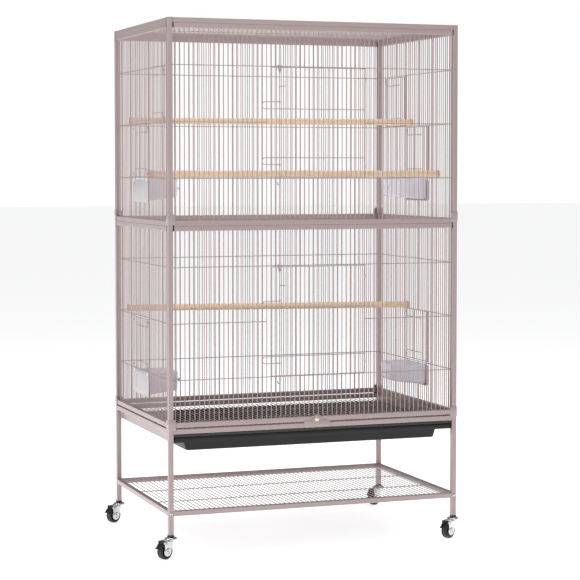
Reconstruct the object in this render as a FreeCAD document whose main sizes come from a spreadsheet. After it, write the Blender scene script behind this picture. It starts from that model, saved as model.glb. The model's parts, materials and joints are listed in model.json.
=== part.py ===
import FreeCAD, Part
import math
import os
import re

# Bird cage on a rolling stand, in millimetres, +Z up, front towards -Y.
# Square tube posts and legs carry wire panels in two tiers, with hinged front
# doors, lift-up side hatches, feeder cups, perches, a floor grille, a slide-out
# tray, a wire shelf and four braked casters.

Vector = FreeCAD.Vector
Rotation = FreeCAD.Rotation
Placement = FreeCAD.Placement

doc = FreeCAD.newDocument("BirdCage")
sheet = doc.addObject("Spreadsheet::Sheet", "Sizes")

# ---- driving dimensions: alias, value, meaning --------------------------------

SIZES = [
    ("cage_width", 787.4, "over the posts, left to right"),
    ("cage_depth", 520.7, "over the posts, front to back"),
    ("tier_height", 503.5, "one wire panel, over its rails"),
    ("stand_height", 323, "floor to the top of the stand's rails"),
    ("stand_gap", 3, "from there to the underside of the lower panels"),
    ("leg_foot", 58, "floor to the bottom end of a leg"),
    ("shift_x", 14, "the cage's middle, right of the object's: the casters trail left"),
    ("shift_y", 10, "the cage's middle, behind the object's: the casters trail forward"),
    ("tube", 12.7, "side of the square tube"),
    ("tube_wall", 1.0, "its wall"),
    ("tube_round", 1.4, "its outer corner radius"),
    ("wire", 2.2, "diameter of every cage wire"),
    ("pitch", 12.7, "wire to wire"),
    ("play", 0.3, "gap beside a part that moves"),
    ("pin_play", 0.06, "radial gap of a pin or a wire in its eye"),
    ("plug", 3.0, "visible thickness of a rail's end plug"),
    ("cap", 1.2, "thickness of the end caps of the top side rails"),
    ("low_wire", 118, "lowest cross wire, above the tier's base"),
    ("mid_wire", 259, "middle cross wire"),
    ("high_wire", 400, "highest cross wire"),
    ("door_columns", 20, "wires that a front doorway interrupts, an even number"),
    ("loop_reach", 13.5, "how far a front door's loops pass its jamb"),
    ("loop_drop", 17.5, "height of a front door's loops"),
    ("loop_low", 170, "lower loop wire of a front door, above the tier's base"),
    ("loop_high", 293, "upper loop wire"),
    ("eye_wall", 1.1, "wall of the wire eyes that run on a wire"),
    ("eye_length", 5, "length of an eye"),
    ("rod_handle", 15, "its sideways handle"),
    ("rod_hook", 17, "how far the lock rod's hook hangs below the door"),
    ("hatch_columns", 10, "wires that a side hatch interrupts, an even number"),
    ("hatch_shift", 1, "columns that the feeder hatch stands off the middle"),
    ("hatch_loop", 21, "height of a hatch's wire loops"),
    ("hatch_back", 95, "length of the returning leg of those loops"),
    ("hatch_overhang", 6, "how far those loops pass the hatch's edge"),
    ("cup_sill", 57, "sill wire under a feeder cup, above the tier's base"),
    ("cup_depth", 88, "bowl of a feeder cup, into the cage"),
    ("cup_gap", 1.9, "free height over the bowl, and beside it in the opening"),
    ("cup_wall", 2.0, "wall of the cup"),
    ("cup_corner", 30, "inner end's plan radius"),
    ("cup_lap", 5, "how far the face plate laps each jamb"),
    ("peg_length", 18, "peg on the inner end of a cup"),
    ("peg_size", 8, "its diameter"),
    ("perch_size", 17.5, "diameter of a perch"),
    ("cap_size", 19, "diameter of a perch's end cap"),
    ("cap_length", 6, "length of a perch's end cap"),
    ("tray_bottom", 265, "underside of the tray, above the floor"),
    ("tray_top", 303, "its rim"),
    ("tray_lip", 14, "its turned-down lip"),
    ("tray_wall", 2.0, "its sheet"),
    ("tray_flange", 26, "width of the rim outside the pan"),
    ("tray_setback", 20, "how far the pan's front stands behind the lip"),
    ("tray_draft", 12, "how much narrower the pan's bottom is, each side"),
    ("runner_sheet", 1.5, "sheet of the side runners"),
    ("runner_ledge", 16, "ledge under the tray's lip"),
    ("grille_ledge", 8, "ledge under the floor grille"),
    ("shelf_top", 118, "top of the shelf's frame, above the floor"),
    ("bracket_height", 27, "corner bracket"),
    ("bracket_lap", 6.5, "how far it laps the rails beside a post"),
    ("bracket_sheet", 1.2, "its sheet"),
    ("bracket_low", 6, "how far a stand bracket starts below the panels"),
    ("bracket_mid", 2.5, "how far a middle bracket starts above the tier joint"),
    ("screw_size", 6, "head of a screw"),
    ("screw_head", 1.8, "its height"),
    ("tab_width", 70, "turn button that ties the cage to the stand"),
    ("tab_neck", 23, "its round ear about the rivet"),
    ("tab_sheet", 1.5, "its sheet"),
    ("rivet_size", 12, "head of its rivet"),
    ("rivet_shank", 4.8, "shank of its rivet"),
    ("wheel_size", 41, "caster wheel diameter"),
    ("wheel_width", 17, "its tread width"),
    ("caster_trail", 21, "wheel axle behind the swivel axis"),
    ("caster_turn", 208.6, "direction in which the casters trail, in degrees from +X"),
    ("collar_size", 17, "plastic collar under a leg"),
    ("collar_height", 4, "its height"),
    ("spigot_length", 25, "its square spigot inside the leg"),
    ("stem_size", 6, "swivel pin diameter"),
    ("stem_head", 9, "its riveted head"),
    ("crown_size", 32, "fork crown diameter"),
    ("crown_height", 7, "its height"),
    ("fork_sheet", 2, "fork cheek"),
    ("cheek_size", 24, "round end of a cheek"),
    ("arm_start", 3, "a cheek's arm, ahead of the swivel axis"),
    ("arm_width", 14, "its width"),
    ("axle_size", 5, "wheel axle"),
    ("pedal_width", 18, "brake pedal, a shoe over the wheel"),
    ("pedal_sheet", 3, "its thickness"),
    ("pedal_gap", 1.7, "from the wheel to the shoe"),
    ("pedal_low", 9.5, "the shoe's lower end, above the axle"),
    ("pedal_tip", 7, "its tip"),
    ("pedal_pin", 3, "its pivot pin"),
    ("pin_ahead", 10.8, "that pin, behind the axle"),
]

# ---- places worked out from them, about the cage's middle, floor or tier base --

PLACES = {
    "post_x": "(cage_width/2 - tube)",
    "post_y": "(cage_depth/2 - tube)",
    "plane_x": "(cage_width/2 - tube/2)",
    "plane_y": "(cage_depth/2 - tube/2)",
    "lower_base": "(stand_height + stand_gap)",
    "upper_base": "(lower_base + tier_height)",
    "top_base": "(lower_base + 2*tier_height)",
    "rail_x": "(post_x - plug)",
    "rail_y": "(post_y - plug)",
    "bar_length": "(tier_height - 2*tube)",
    "half_row_x": "(floor(post_x/pitch + 0.001))",
    "half_row_y": "(floor(post_y/pitch + 0.001))",
    "jamb_x": "((door_columns + 1)/2*pitch)",
    "eye_radius": "(wire/2 + pin_play + eye_wall)",
    "door_plane": "(eye_radius + wire/2)",
    "front_bar": "(door_plane + wire)",
    "rod_plane": "(front_bar + wire + play)",
    "rod_x": "((door_columns/2 - 2)*pitch)",
    "feeder_low": "((hatch_shift - (hatch_columns + 1)/2)*pitch)",
    "feeder_high": "((hatch_shift + (hatch_columns + 1)/2)*pitch)",
    "access_high": "(feeder_low - pitch)",
    "access_low": "(access_high - (hatch_columns + 1)*pitch)",
    "leg_length": "(stand_height - leg_foot)",
    "web_x": "(post_x - runner_sheet)",
    "tray_x": "(web_x - play)",
    "ledge_low": "(tray_top - tray_lip - play - runner_sheet)",
    "ledge_high": "(tray_top + play)",
    "grille_level": "(ledge_high + runner_sheet + play + wire/2)",
    "pan_x": "(tray_x - tray_flange)",
    "tray_front": "(cage_depth/2 - 1)",
    "tray_back": "(post_y - 4)",
    "crown_top": "(leg_foot - collar_height - play)",
    "crown_low": "(crown_top - crown_height)",
    "cheek_in": "(wheel_width/2 + 1)",
    "cup_outer": "(plane_x + wire/2 + play)",
}

for row, (alias, number, meaning) in enumerate(SIZES, start=1):
    sheet.set(f"A{row}", meaning)
    sheet.set(f"B{row}", str(number))
    sheet.setAlias(f"B{row}", alias)
doc.recompute()

ALIASES = {alias for alias, number, meaning in SIZES}


def formula(text):
    """A spreadsheet expression, from the plain names above."""

    def swap(match):
        word = match.group(0)
        if word in PLACES:
            return formula(PLACES[word])
        return "Sizes." + word if word in ALIASES else word

    return re.sub(r"[a-z][a-z_]*", swap, text)


def value(text):
    """The same expression as a number."""
    return float(sheet.evalExpression(formula(text)))


def bind(piece, **properties):
    for name, text in properties.items():
        piece.setExpression(name, formula(text))


def place(piece, x="0", y="0", z="0"):
    for axis, text in zip("xyz", (x, y, z)):
        piece.setExpression("Placement.Base." + axis, formula(text))


ALONG = {"x": Vector(1, 0, 0), "y": Vector(0, 1, 0), "z": Vector(0, 0, 1)}
NODES = []


def carried(label, pieces, z, turn=0):
    """Pieces of a panel, turned about the cage's middle and raised to its tier."""
    group = doc.addObject("Part::Compound", label)
    group.Links = pieces
    group.Placement = Placement(Vector(), Rotation(ALONG["z"], turn))
    place(group, z=z)
    return group


def node(label, pieces, z="0", turn=0):
    """One named sub-part, carried from the cage's middle to its place."""
    group = doc.addObject("Part::Compound", label)
    group.Label = label
    group.Links = pieces
    group.Placement = Placement(Vector(), Rotation(ALONG["z"], turn))
    place(group, "shift_x", "shift_y", z)
    NODES.append(group)
    return group


def body(label):
    return doc.addObject("PartDesign::Body", label)


def block(owner, label, low, size, kind="PartDesign::AdditiveBox"):
    """A box in a body, by its low corner and its three sides."""
    box = owner.newObject(kind, label)
    bind(box, Length=size[0], Width=size[1], Height=size[2])
    place(box, *low)
    return box


def round_bar(owner, label, axis, start, length, diameter, kind="PartDesign::AdditiveCylinder"):
    """A cylinder in a body, from a start point along one axis."""
    bar = owner.newObject(kind, label)
    bind(bar, Radius=f"({diameter})/2", Height=length)
    bar.Placement = Placement(Vector(), Rotation(ALONG["z"], ALONG[axis]))
    place(bar, *start)
    return bar


def soften(owner, base, label, radius, test):
    """Fillets the edges of a feature whose middle and direction pass a test."""
    doc.recompute()
    names = []
    for number, edge in enumerate(base.Shape.Edges, start=1):
        along = edge.tangentAt(edge.FirstParameter)
        if test(edge.CenterOfMass, along):
            names.append(f"Edge{number}")
    fillet = owner.newObject("PartDesign::Fillet", label)
    fillet.Base = (base, names)
    bind(fillet, Radius=radius)
    return fillet


def tube(label, axis, low, length):
    """Square tube with rounded corners, open at both ends."""
    owner = body(label)
    size = [length if side == axis else "tube" for side in "xyz"]
    outer = block(owner, label + "_outer", ("0", "0", "0"), size)
    soften(owner, outer, label + "_corners", "tube_round",
           lambda middle, along: abs(along.dot(ALONG[axis])) > 0.9)
    hollow = [length if side == axis else "tube - 2*tube_wall" for side in "xyz"]
    inside = ["0" if side == axis else "tube_wall" for side in "xyz"]
    block(owner, label + "_bore", inside, hollow, "PartDesign::SubtractiveBox")
    place(owner, *low)
    return owner


def wires(label, axis, start, length, across=None, count="1", step="pitch"):
    """A straight wire, or a row of equal wires side by side."""
    owner = body(label)
    rod = round_bar(owner, label + "_wire", axis, ("0", "0", "0"), length, "wire")
    if across:
        row = owner.newObject("PartDesign::LinearPattern", label + "_row")
        row.Originals = [rod]
        side = [item for item in owner.Origin.OriginFeatures
                if item.Role == across.upper() + "_Axis"]
        row.Direction = (side[0], [""])
        row.Mode = "Spacing"
        bind(row, Offset=step, Occurrences=count)
        owner.Tip = row
    place(owner, *start)
    return owner


def eye(label, centre, length, open_side=None):
    """A short sleeve of bent wire that runs on an upright cage wire.
    open_side is a direction in which it is cut away, so that it clips on."""
    owner = body(label)
    start = (centre[0], centre[1], f"{centre[2]} - ({length})/2")
    round_bar(owner, label + "_curl", "z", start, length, "2*eye_radius")
    round_bar(owner, label + "_hole", "z", start, length, "wire + 2*pin_play",
              "PartDesign::SubtractiveCylinder")
    if open_side:
        low = (f"{centre[0]} + 0.25*wire", f"{centre[1]} - 2*eye_radius", start[2])
        block(owner, label + "_mouth", low, ("2*eye_radius", "4*eye_radius", length),
              "PartDesign::SubtractiveBox")
    return owner


def bent_wire(label, points, bend):
    """Round wire through points, straight runs joined by tangent arcs."""
    spots = [Vector(*[value(number) for number in point]) for point in points]
    radius = value(bend)
    edges = []
    here = spots[0]
    for before, corner, after in zip(spots, spots[1:], spots[2:]):
        coming = (corner - before).normalize()
        going = (after - corner).normalize()
        turn = coming.getAngle(going)
        cut = radius * math.tan(turn / 2)
        start = corner - coming * cut
        end = corner + going * cut
        inward = (going - coming).normalize()
        middle = corner + inward * (radius / math.cos(turn / 2) - radius)
        edges.append(Part.LineSegment(here, start).toShape())
        edges.append(Part.Arc(start, middle, end).toShape())
        here = end
    edges.append(Part.LineSegment(here, spots[-1]).toShape())
    path = Part.Wire(edges)
    ring = Part.Circle(spots[0], spots[1] - spots[0], value("wire") / 2).toShape()
    piece = doc.addObject("Part::Feature", label)
    piece.Shape = path.makePipeShell([Part.Wire([ring])], True, False)
    return piece


# ---- posts, legs and the stand ----------------------------------------------

CORNERS = {
    "front_left": (-1, -1),
    "front_right": (1, -1),
    "back_left": (-1, 1),
    "back_right": (1, 1),
}


def corner_low(sign, inner):
    """Low corner of a tube that stands at the left or right, or front or back."""
    return f"-{inner} - tube" if sign < 0 else inner


def make_posts():
    for corner, (side, end) in CORNERS.items():
        x = corner_low(side, "post_x")
        y = corner_low(end, "post_y")
        lower = tube(f"{corner}_lower_tube", "z", (x, y, "stand_height"), "tier_height + stand_gap")
        upper = tube(f"{corner}_upper_tube", "z", (x, y, "upper_base"), "tier_height + tube")
        node(f"{corner}_post", [lower, upper])
        leg = tube(f"{corner}_leg_tube", "z", (x, y, "leg_foot"), "leg_length")
        node(f"{corner}_leg", [leg])


def make_stand():
    low = "stand_height - tube"
    rails = []
    for end, name in ((-1, "front"), (1, "back")):
        rails.append(tube(f"stand_{name}_rail", "x", ("-post_x", corner_low(end, "post_y"), low), "2*post_x"))
    for side, name in ((-1, "left"), (1, "right")):
        spot = (corner_low(side, "post_x"), "-post_y", low)
        rails.append(tube(f"stand_{name}_rail", "y", spot, "2*post_y"))
    node("stand_frame", rails)


def make_runners():
    """Sheet runners inside the stand's side rails: the tray's lips slide on the
    lower ledges and the floor grille on the upper ones."""
    pieces = []
    for side, name in ((-1, "left"), (1, "right")):
        plates = (
            ("web", "runner_sheet", "ledge_low", "stand_height - ledge_low"),
            ("low_ledge", "runner_ledge", "ledge_low", "runner_sheet"),
            ("high_ledge", "grille_ledge", "ledge_high", "runner_sheet"),
        )
        for part, width, low, height in plates:
            if part == "web":
                x = "-post_x" if side < 0 else "web_x"
            else:
                x = "-web_x" if side < 0 else f"web_x - {width}"
            plate = body(f"{name}_runner_{part}")
            block(plate, f"{plate.Name}_sheet", (x, "-post_y", low), (width, "2*post_y", height))
            pieces.append(plate)
    node("tray_runners", pieces)


def make_shelf():
    low = "shelf_top - tube"
    pieces = []
    for end, name in ((-1, "front"), (1, "back")):
        spot = ("-post_x", corner_low(end, "post_y"), low)
        pieces.append(tube(f"shelf_{name}_rail", "x", spot, "2*post_x"))
    for side, name in ((-1, "left"), (1, "right")):
        spot = (corner_low(side, "post_x"), "-post_y", low)
        pieces.append(tube(f"shelf_{name}_rail", "y", spot, "2*post_y"))
    middle = "shelf_top - tube/2"
    pieces.append(wires("shelf_wires", "y", ("pitch/2 - half_row_x*pitch", "-post_y", middle),
                        "2*post_y", "x", "2*half_row_x"))
    pieces.append(wires("shelf_cross", "x", ("-post_x", "-post_y/3", middle + " - wire"),
                        "2*post_x", "y", "2", "2*post_y/3"))
    node("shelf", pieces)


def make_grille():
    """Floor grille: wires front to back on three cross wires, and a front strip."""
    front = "tray_front - wire"
    length = f"{front} + post_y - 1"
    pieces = [
        wires("grille_wires", "y", ("(0.5 - half_row_x)*pitch", f"-({front})", "grille_level + wire"),
              length, "x", "2*half_row_x"),
        wires("grille_cross", "x", ("-tray_x", "-post_y/2", "grille_level"), "2*tray_x",
              "y", "3", "post_y/2"),
    ]
    strip = body("grille_front_strip")
    block(strip, "grille_strip", ("-tray_x", "-tray_front", "ledge_high"),
          ("2*tray_x", "wire", "grille_level + wire - ledge_high"))
    node("floor_grille", pieces + [strip])


def make_tray():
    """Pan with sloping sides, a flat rim and a lip turned down along the rim."""
    pan = body("tray_pan")
    rise = "tray_top - tray_bottom"
    long_y = "tray_front + tray_back"

    def wedge(label, kind, inset, floor):
        piece = pan.newObject(kind, label)
        bind(piece, Xmin=f"-(pan_x - tray_draft - {inset})", Xmax=f"pan_x - tray_draft - {inset}",
             X2min=f"-(pan_x - {inset})", X2max=f"pan_x - {inset}", Ymin=floor, Ymax=rise,
             Zmin=f"-(tray_back - 8 - {inset})", Zmax=f"tray_front - tray_setback - 2 - {inset}",
             Z2min=f"-(tray_back - 6 - {inset})", Z2max=f"tray_front - tray_setback - {inset}")
        piece.Placement = Placement(Vector(), Rotation(ALONG["x"], 90))
        place(piece, z="tray_bottom")
        return piece

    wedge("pan_outside", "PartDesign::AdditiveWedge", "0", "0")
    sheet_low = "tray_top - tray_wall"
    block(pan, "rim", ("-tray_x", "-tray_front", sheet_low), ("2*tray_x", long_y, "tray_wall"))
    lip_low = "tray_top - tray_lip"
    for spot, name in (("-tray_x", "left"), ("tray_x - tray_wall", "right")):
        block(pan, f"{name}_lip", (spot, "-tray_front", lip_low), ("tray_wall", long_y, "tray_lip"))
    block(pan, "front_lip", ("-tray_x", "-tray_front", lip_low), ("2*tray_x", "tray_wall", "tray_lip"))
    wedge("pan_inside", "PartDesign::SubtractiveWedge", "tray_wall", "tray_wall")
    node("tray", [pan])


# ---- wire panels -------------------------------------------------------------

PLUGS = []


def panel_rails(prefix, axis, half, plane):
    """Top and bottom rails of a panel, and their end plugs."""
    pieces = []
    for level, low in (("bottom", "0"), ("top", "tier_height - tube")):
        spot = (f"-{half}", f"-{plane} - tube", low) if axis == "x" else (
            f"-{plane} - tube", f"-{half}", low)
        pieces.append(tube(f"{prefix}_{level}_rail", axis, spot, f"2*{half}"))
    return pieces


def make_plugs(prefix, axis, base, turn):
    """End plugs of a panel's rails: a flange as large as the tube and a spigot
    inside it."""
    half, plane = ("rail_x", "post_y") if axis == "x" else ("rail_y", "post_x")
    thick = "tube - 2*tube_wall - 2*pin_play"
    across = f"-{plane} - tube"
    inside = f"{across} + tube_wall + pin_play"
    pieces = []
    for level, low in (("bottom", "0"), ("top", "tier_height - tube")):
        raised = f"{low} + tube_wall + pin_play"
        for end, reach, start in (("low", f"-{half} - plug", f"-{half}"), ("high", half, f"{half} - 8")):
            plug = body(f"{prefix}_{level}_{end}_plug")
            if axis == "x":
                flange = (reach, across, low), ("plug", "tube", "tube")
                spigot = (start, inside, raised), ("8", thick, thick)
            else:
                flange = (across, reach, low), ("tube", "plug", "tube")
                spigot = (inside, start, raised), (thick, "8", thick)
            block(plug, f"{plug.Name}_flange", *flange)
            block(plug, f"{plug.Name}_spigot", *spigot)
            pieces.append(plug)
    PLUGS.append(carried(f"{prefix}_plugs", pieces, base, turn))


def make_front_panel(name, base):
    """Front panel: the wires stop round a doorway between two jamb wires. The
    door turns in two eyes on the right one."""
    pieces = panel_rails(name, "x", "rail_x", "post_y")
    y = "-plane_y"
    side_count = "(half_row_x - door_columns/2)"
    first = "(pitch/2 - half_row_x*pitch)"
    pieces += [
        wires(f"{name}_left_bars", "z", (first, y, "tube"), "bar_length", "x", side_count),
        wires(f"{name}_right_bars", "z", ("jamb_x", y, "tube"), "bar_length", "x", side_count),
        wires(f"{name}_sill_bars", "z", ("pitch - jamb_x", y, "tube"),
              "low_wire - tube", "x", "door_columns"),
        wires(f"{name}_head_bars", "z", ("pitch - jamb_x", y, "high_wire"),
              "tier_height - tube - high_wire", "x", "door_columns"),
    ]
    inside = "wire - plane_y"
    for level in ("low_wire", "high_wire"):
        pieces.append(wires(f"{name}_{level}", "x", ("-post_x", inside, level), "2*post_x"))
    for x, side in (("-post_x", "left"), ("jamb_x", "right")):
        pieces.append(wires(f"{name}_{side}_mid_wire", "x", (x, inside, "mid_wire"), "post_x - jamb_x"))
    for level, part in (("low_wire + 30", "low"), ("high_wire - 30", "high")):
        pieces.append(eye(f"{name}_{part}_hinge", ("jamb_x", "-plane_y - door_plane", level), "eye_length"))
    node(f"{name}_panel", pieces, base)
    make_plugs(name, "x", base, 0)


def make_back_panel(name, base):
    pieces = panel_rails(name, "x", "rail_x", "post_y")
    pieces.append(wires(f"{name}_bars", "z", ("(0.5 - half_row_x)*pitch", "-plane_y", "tube"),
                        "bar_length", "x", "2*half_row_x"))
    for level in ("low_wire", "mid_wire", "high_wire"):
        pieces.append(wires(f"{name}_{level}", "x", ("-post_x", "wire - plane_y", level), "2*post_x"))
    node(f"{name}_panel", pieces, base, 180)
    make_plugs(name, "x", base, 180)


def make_side_panel(name, base, turn, with_access):
    """Side panel, drawn at the left: a feeder hatch with a cup opening under it
    and, on the upper tier, an access hatch beside it."""
    pieces = panel_rails(name, "y", "rail_y", "post_x")
    x = "-plane_x"
    first = "(0.5 - half_row_y)*pitch"
    inside = "wire - plane_x"
    next_low = "feeder_low + pitch"
    rows = [
        ("sill_bars", next_low, "tube", "cup_sill - tube", "hatch_columns"),
        ("head_bars", next_low, "mid_wire", "tier_height - tube - mid_wire", "hatch_columns"),
        ("rear_bars", "feeder_high", "tube", "bar_length", f"half_row_y - feeder_high/pitch + 0.5"),
    ]
    if with_access:
        edge = "access_low + pitch"
        rows += [
            ("end_bars", first, "tube", "bar_length", "half_row_y + access_low/pitch + 0.5"),
            ("jamb_bars", "access_high", "tube", "bar_length", "2"),
            ("foot_bars", edge, "tube", "mid_wire - tube", "hatch_columns"),
            ("crest_bars", edge, "high_wire", "tier_height - tube - high_wire", "hatch_columns"),
        ]
    else:
        rows.append(("end_bars", first, "tube", "bar_length", "half_row_y + feeder_low/pitch + 0.5"))
    for part, y, z, length, count in rows:
        pieces.append(wires(f"{name}_{part}", "z", (x, y, z), length, "y", count))
    for level in ("low_wire", "mid_wire", "high_wire"):
        pieces.append(wires(f"{name}_{level}", "y", (inside, "-post_y", level), "2*post_y"))
    pieces.append(wires(f"{name}_cup_sill", "y", (inside, "feeder_low", "cup_sill"),
                        "feeder_high - feeder_low"))
    node(f"{name}_panel", pieces, base, turn)
    make_plugs(name, "y", base, turn)


def make_top_panel():
    pieces = []
    for end, part in ((-1, "front"), (1, "back")):
        spot = ("-post_x", corner_low(end, "post_y"), "0")
        pieces.append(tube(f"top_{part}_rail", "x", spot, "2*post_x"))
    caps = []
    for side, part in ((-1, "left"), (1, "right")):
        x = corner_low(side, "post_x")
        pieces.append(tube(f"top_{part}_rail", "y", (x, "cap - post_y", "0"), "2*(post_y - cap)"))
        for spot, end in (("-post_y", "front"), ("post_y - cap", "back")):
            cap = body(f"top_{part}_{end}_cap")
            block(cap, f"{cap.Name}_plate", (x, spot, "0"), ("tube", "cap", "tube"))
            caps.append(cap)
    pieces.append(wires("top_wires", "y", ("(0.5 - half_row_x)*pitch", "-post_y", "tube/2"),
                        "2*post_y", "x", "2*half_row_x"))
    pieces.append(wires("top_cross", "x", ("-post_x", "-post_y/3", "tube/2 - wire"),
                        "2*post_x", "y", "2", "2*post_y/3"))
    node("top_panel", pieces, "top_base")
    PLUGS.append(carried("top_caps", caps, "top_base"))


# ---- front doors and their lock rods -------------------------------------------

def make_front_door(tier, base):
    """Door whose right wire is the hinge pin. Two of its wires pass the left
    jamb and turn back in a loop to an eye that guides the lock rod."""
    name = f"{tier}_door"
    y = "-plane_y - door_plane"
    bar = "-plane_y - front_bar"
    left = "(pitch - jamb_x)"
    low = "(low_wire + wire/2 + play)"
    high = "(high_wire - wire/2 - play)"
    pieces = [wires(f"{name}_bars", "z", (left, y, low), f"{high} - {low}", "x", "door_columns + 1")]
    for part, level in (("foot", f"{low} + wire/2"), ("head", f"{high} - wire/2")):
        pieces.append(wires(f"{name}_{part}", "x", (f"{left} - wire", bar, level), f"jamb_x + wire - {left}"))
    tip = "-jamb_x - loop_reach"
    end = "-rod_x - 0.8*eye_radius"
    for level, drop in (("loop_high", "loop_drop"), ("loop_low", "-loop_drop")):
        back = f"{level} + {drop}"
        points = [("jamb_x", bar, level), (tip, bar, level), (tip, bar, back), (end, bar, back)]
        pieces.append(bent_wire(f"{name}_{level}", points, "0.45*loop_drop"))
        pieces.append(eye(f"{name}_{level}_guide", ("-rod_x", "-plane_y - rod_plane", back), "eye_length"))
    node(name, pieces, base)


def make_lock_rod(tier, base):
    name = f"{tier}_lock_rod"
    x = "-rod_x"
    y = "-plane_y - rod_plane"
    top = "high_wire + wire + play"
    low = "low_wire - rod_hook"
    points = [(x, "-plane_y", top), (x, y, top), (x, y, low), (x, f"{y} - 7", low),
              (x, f"{y} - 7", f"{low} + 9")]
    rod = bent_wire(f"{name}_wire", points, "3")
    grip = wires(f"{name}_grip", "x", (x, y, "high_wire - 50"), "rod_handle")
    node(name, [rod, grip], base)


# ---- side hatches and cups -------------------------------------------------------

def make_hatch(label, base, turn, low_y, high_y, low_z, high_z):
    """Lift-up hatch outside a side panel, clipped to its two jamb wires."""
    x = "-plane_x - door_plane"
    outer = "-plane_x - front_bar"
    bottom = f"({low_z} + wire + play)"
    top = f"({high_z} - wire - play)"
    pieces = [wires(f"{label}_bars", "z", (x, low_y, f"{bottom} - wire/2"),
                    f"{top} - {bottom} + wire", "y", "hatch_columns + 2")]
    tip = f"{low_y} - hatch_overhang"
    for part, level, back in (("foot", bottom, f"{bottom} + hatch_loop"),
                              ("head", top, f"{top} - hatch_loop")):
        points = [(outer, f"{high_y} + wire", level), (outer, tip, level), (outer, tip, back),
                  (outer, f"{tip} + hatch_back", back)]
        pieces.append(bent_wire(f"{label}_{part}", points, "4"))
    for end, jamb in (("front", low_y), ("rear", high_y)):
        for part, level in (("low", f"{bottom} + 9"), ("high", f"{top} - 9")):
            pieces.append(eye(f"{label}_{end}_{part}_clip", ("-plane_x", jamb, level),
                              "eye_length", "inside"))
    node(label, pieces, base, turn)


def make_cup(label, base, turn):
    """Feeder cup: a face plate outside the panel, and a bowl with rounded inner
    corners and a peg that reaches into the cage."""
    cup = body(f"{label}_shell")
    low_y = "(feeder_low + wire/2 + cup_gap/2)"
    wide = "(feeder_high - feeder_low - wire - cup_gap)"
    low_z = "(cup_sill + wire/2 + play)"
    top_z = "(low_wire - wire/2 - cup_gap)"
    tall = f"({top_z} - {low_z})"
    bowl = block(cup, f"{label}_bowl", ("-cup_outer", low_y, low_z), ("cup_depth", wide, tall))
    inner_x = value("cup_depth - cup_outer")
    rounded = soften(cup, bowl, f"{label}_corners", "cup_corner",
                     lambda middle, along: abs(along.z) > 0.9 and abs(middle.x - inner_x) < 1)
    doc.recompute()
    mouth = [f"Face{number}" for number, face in enumerate(rounded.Shape.Faces, start=1)
             if face.normalAt(0, 0).z > 0.9]
    shell = cup.newObject("PartDesign::Thickness", f"{label}_wall")
    shell.Base = (rounded, mouth)
    shell.Reversed = True
    bind(shell, Value="cup_wall")
    doc.recompute()
    if shell.Shape.Volume > 0.5 * rounded.Shape.Volume:
        raise RuntimeError(f"{label} is not hollow")
    block(cup, f"{label}_face", ("-cup_outer - cup_wall", "feeder_low - cup_lap", "cup_sill - 2"),
          ("cup_wall", "feeder_high - feeder_low + 2*cup_lap", "low_wire - cup_sill + 1"))
    round_bar(cup, f"{label}_peg", "x",
              ("cup_depth - cup_outer - cup_wall/2", f"{low_y} + {wide}/2", f"{low_z} + {tall}/2"),
              "peg_length", "peg_size")
    node(label, [cup], base, turn)


# ---- perches ---------------------------------------------------------------------

# name: tier base, cross wire that carries it, left end and right end behind the middle
PERCHES = {
    "upper_perch": ("upper_base", "mid_wire", 142, 9),
    "middle_perch": ("upper_base", "low_wire", -63.5, -167),
    "lower_perch": ("lower_base", "mid_wire", 169, 33),
}


def make_perches():
    """Dowels that lie on the side panels' cross wires, slightly askew."""
    caps = []
    reach = value("plane_x - wire/2 - play - cap_size*0.09")
    tip = value("cap_length")
    for name, (base, carrier, left, right) in PERCHES.items():
        height = value(f"{base} + {carrier} + wire/2 + play + cap_size/2")
        start = Vector(-reach, left, height)
        span = Vector(reach, right, height) - start
        along = Vector(span).normalize()
        turn = Rotation(ALONG["z"], along)
        dowel = body(f"{name}_dowel")
        wood = dowel.newObject("PartDesign::AdditiveCylinder", f"{name}_wood")
        bind(wood, Radius="perch_size/2")
        wood.Height = span.Length - 2 * tip
        wood.Placement = Placement(start + along * tip, turn)
        node(name, [dowel])
        for end, spot in (("left", start), ("right", start + span - along * tip)):
            cap = body(f"{name}_{end}_cap")
            disc = cap.newObject("PartDesign::AdditiveCylinder", f"{name}_{end}_disc")
            bind(disc, Radius="cap_size/2", Height="cap_length")
            disc.Placement = Placement(spot, turn)
            caps.append(cap)
    node("perch_end_caps", caps)


# ---- brackets, screws and the turn button ------------------------------------------

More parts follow.
